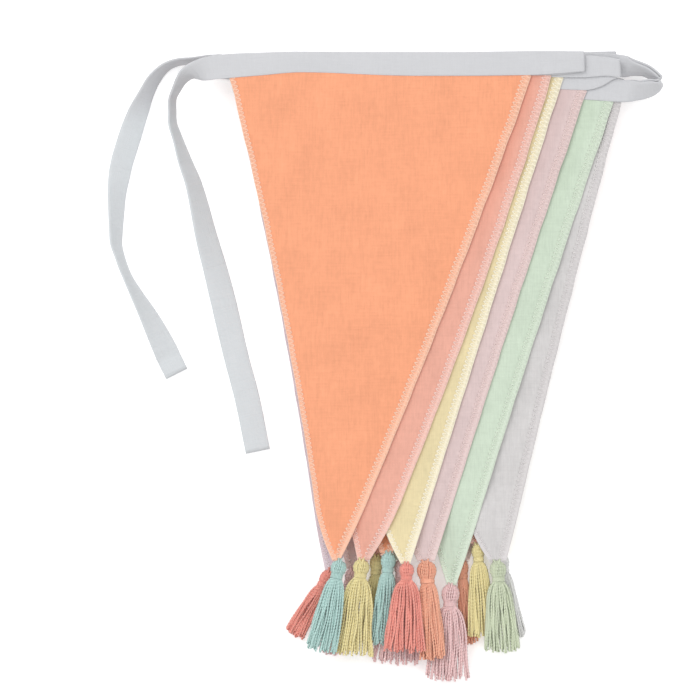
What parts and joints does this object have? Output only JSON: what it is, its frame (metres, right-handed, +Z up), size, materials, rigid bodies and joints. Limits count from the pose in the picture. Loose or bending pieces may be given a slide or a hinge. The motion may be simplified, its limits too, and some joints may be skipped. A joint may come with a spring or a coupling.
{
  "type": "fabric bunting",
  "caption": "Fabric bunting folded into a fanned stack: pastel triangular pennants on one folded cotton tape, yarn tassels on the tips, two tape ties.",
  "frame": {"origin": "on the surface that the folded bunting lies on, under the middle of its bounding box", "axes": "+X to the right of the folded stack, +Y from the tassels to the tape, +Z up, out of the surface"},
  "size_m": [0.3478, 0.394, 0.0304],
  "materials": {
    "tape": "folded cotton binding tape, fine plain weave, matt",
    "orange": "thin plain-woven cotton, matt, overlocked edges in a paler thread",
    "salmon": "thin plain-woven cotton, matt, overlocked edges in a paler thread",
    "cream": "thin plain-woven cotton, matt, overlocked edges in a paler thread",
    "rose": "thin plain-woven cotton, matt, overlocked edges in a paler thread",
    "mint": "thin plain-woven cotton, matt, overlocked edges in a paler thread",
    "pearl": "thin plain-woven cotton, matt, overlocked edges in a paler thread",
    "lilac": "thin plain-woven cotton, matt, overlocked edges in a paler thread",
    "yarn_aqua": "twisted cotton yarn, soft and matt",
    "yarn_straw": "twisted cotton yarn, soft and matt",
    "yarn_coral": "twisted cotton yarn, soft and matt",
    "yarn_apricot": "twisted cotton yarn, soft and matt",
    "yarn_mauve": "twisted cotton yarn, soft and matt",
    "yarn_sage": "twisted cotton yarn, soft and matt",
    "yarn_stone": "twisted cotton yarn, soft and matt"
  },
  "bodies": {
    "root": {"tape": "tape", "pennant_01": "orange", "pennant_02": "salmon", "pennant_03": "cream", "pennant_04": "rose", "pennant_05": "mint", "pennant_06": "pearl", "pennant_07": "orange", "pennant_08": "salmon", "pennant_09": "cream", "pennant_10": "rose", "pennant_11": "mint", "pennant_12": "salmon", "pennant_13": "rose", "pennant_14": "lilac", "tassel_01": "yarn_aqua", "tassel_02": "yarn_straw", "tassel_03": "yarn_coral", "tassel_04": "yarn_apricot", "tassel_05": "yarn_mauve", "tassel_06": "yarn_sage", "tassel_07": "yarn_aqua", "tassel_08": "yarn_straw", "tassel_09": "yarn_stone", "tassel_10": "yarn_apricot", "tassel_11": "yarn_mauve", "tassel_12": "yarn_straw", "tassel_13": "yarn_mauve", "tassel_14": "yarn_coral"}
  },
  "joints": []
}
